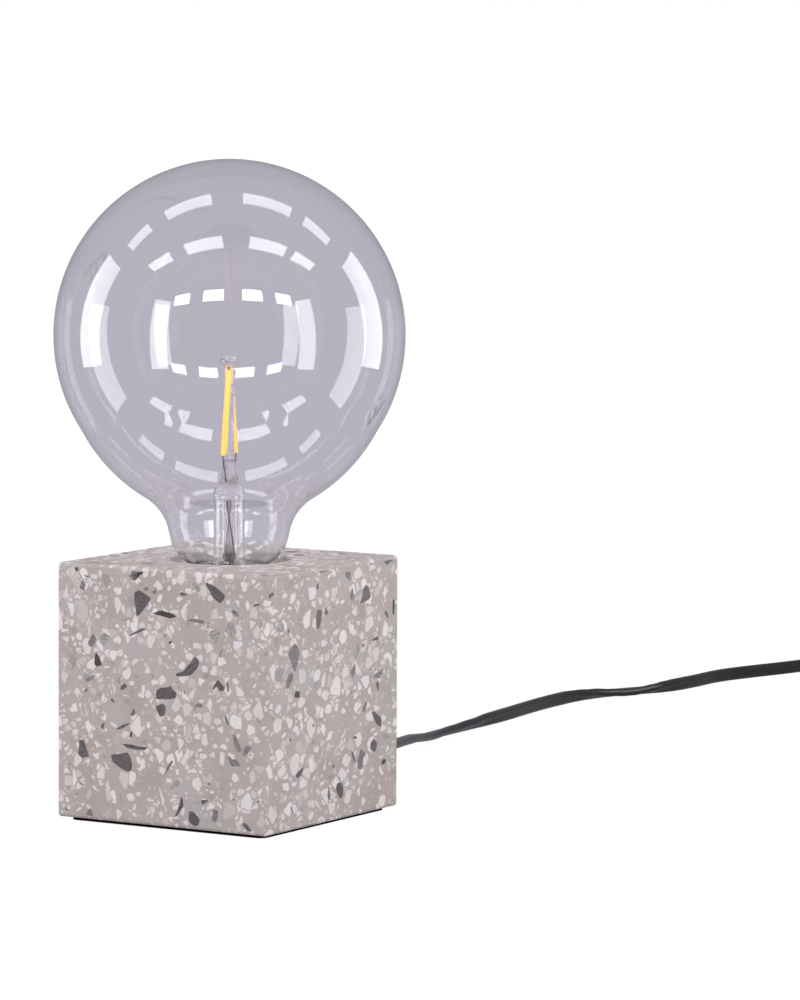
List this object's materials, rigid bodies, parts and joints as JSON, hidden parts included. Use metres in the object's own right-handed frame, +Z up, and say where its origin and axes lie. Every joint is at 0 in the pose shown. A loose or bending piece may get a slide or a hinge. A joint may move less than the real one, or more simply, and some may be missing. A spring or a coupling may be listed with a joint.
{
  "type": "table lamp",
  "caption": "Cubic terrazzo table lamp with a recessed screw holder, a large clear globe bulb and a flat black lead with an in-line rocker switch and a plug.",
  "frame": {"origin": "middle of the square base on the surface the lamp stands on", "axes": "+Z up along the bulb, +X to the block's right face, the lead leaves the +Y (back) face"},
  "size_m": [0.2322, 0.5953, 0.2342],
  "materials": {
    "terrazzo": "honed cement terrazzo with pale and dark grey stone chips",
    "black_foam": "matt black closed-cell foam sheet",
    "lead_sheath": "semi-matt black PVC",
    "black_moulding": "fine-grained black moulding",
    "holder_black": "smooth black thermoplastic",
    "zinc_steel": "bright zinc-plated steel",
    "contact_brass": "plain brass",
    "cap_metal": "pressed nickel-coloured cap sheet",
    "tin_solder": "dull solder",
    "cap_glass": "black vitreous insulator",
    "clear_glass": "clear blown glass",
    "phosphor": "yellow silicone phosphor coating",
    "nickel_wire": "drawn nickel wire",
    "board_green": "solder-masked board",
    "core_brown": "brown PVC insulation",
    "core_blue": "blue PVC insulation",
    "pin_nickel": "nickel-plated brass"
  },
  "bodies": {
    "root": {"base_pad": "black_foam", "centre_contact": "contact_brass", "cord_coil": "lead_sheath", "cord_stop_base": "black_moulding", "cord_stop_cap": "black_moulding", "cord_stop_screws": "zinc_steel", "cord_to_coil": "lead_sheath", "cord_to_plug": "lead_sheath", "cord_to_switch": "lead_sheath", "core_live": "core_brown", "core_neutral": "core_blue", "holder_cap": "holder_black", "holder_insert": "holder_black", "holder_skirt": "holder_black", "holder_stud": "zinc_steel", "holder_terminals": "contact_brass", "inner_cord": "lead_sheath", "outlet_bush": "black_moulding", "pin_sleeves": "black_moulding", "plug_body": "black_moulding", "plug_boot": "black_moulding", "plug_pins": "pin_nickel", "screw_shell": "contact_brass", "stud_end_bush": "black_moulding", "stud_nut": "zinc_steel", "stud_washers": "zinc_steel", "switch_base": "black_moulding", "switch_boots": "black_moulding", "switch_contacts": "contact_brass", "switch_cover": "black_moulding", "switch_screws": "zinc_steel", "switch_wires": "core_brown", "terminal_screws": "zinc_steel", "terrazzo_block": "terrazzo"},
    "bulb_tip": {"contact_tip": "tin_solder"},
    "bulb": {"glass_envelope": "clear_glass", "bulb_cap": "cap_metal", "cap_insulator": "cap_glass", "glass_stem": "clear_glass", "exhaust_tube": "clear_glass", "rod_bead": "clear_glass", "filament_front": "phosphor", "filament_back": "phosphor", "filament_tabs": "nickel_wire", "support_wires": "nickel_wire", "lead_wires": "nickel_wire", "driver_board": "board_green", "driver_parts": "black_moulding"},
    "rocker": {"switch_rocker": "holder_black", "switch_bridge": "contact_brass"}
  },
  "joints": [
    {"name": "bulb_lift", "type": "slide", "parent": "root", "child": "bulb_tip", "axis": [0, 0, 1], "range_m": [0, 0.0146]},
    {"name": "bulb_turn", "type": "hinge", "parent": "bulb_tip", "child": "bulb", "pos_m": [0, 0, 0], "axis": [0, 0, 1], "range_deg": [0, 1440]},
    {"name": "switch_rock", "type": "hinge", "parent": "root", "child": "rocker", "pos_m": [0.075, 0.43, 0.0113], "axis": [-1, 0, 0], "range_deg": [0, 20]}
  ],
  "couplings": [
    {"joint": "bulb_lift", "follows": "bulb_turn", "m_per_rad": 0.00057757}
  ]
}
